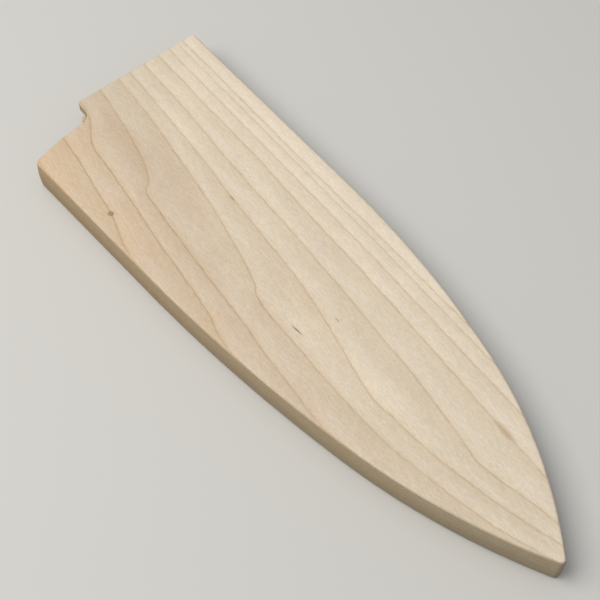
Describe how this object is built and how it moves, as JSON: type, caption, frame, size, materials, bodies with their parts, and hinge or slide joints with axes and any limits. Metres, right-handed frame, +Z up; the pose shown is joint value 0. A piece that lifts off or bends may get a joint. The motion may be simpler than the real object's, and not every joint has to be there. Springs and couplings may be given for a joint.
{
  "type": "knife blade guard",
  "caption": "Flat wooden sheath glued from two hollowed halves, with a stepped open mouth and a curved point, that slides over a broad kitchen knife's blade.",
  "frame": {"origin": "middle of the underside's bounding box, on the surface that the sheath lies on", "axes": "+X from the mouth to the tip, +Y from the knife's spine to its cutting edge, +Z up through the thickness"},
  "size_m": [0.2094, 0.0718, 0.0114],
  "materials": {
    "pale_wood": "fine sanded, no varnish",
    "wood_glue": "dried flush with the wood"
  },
  "bodies": {
    "root": {"upper_half": "pale_wood", "lower_half": "pale_wood", "glue_film": "wood_glue"}
  },
  "joints": []
}
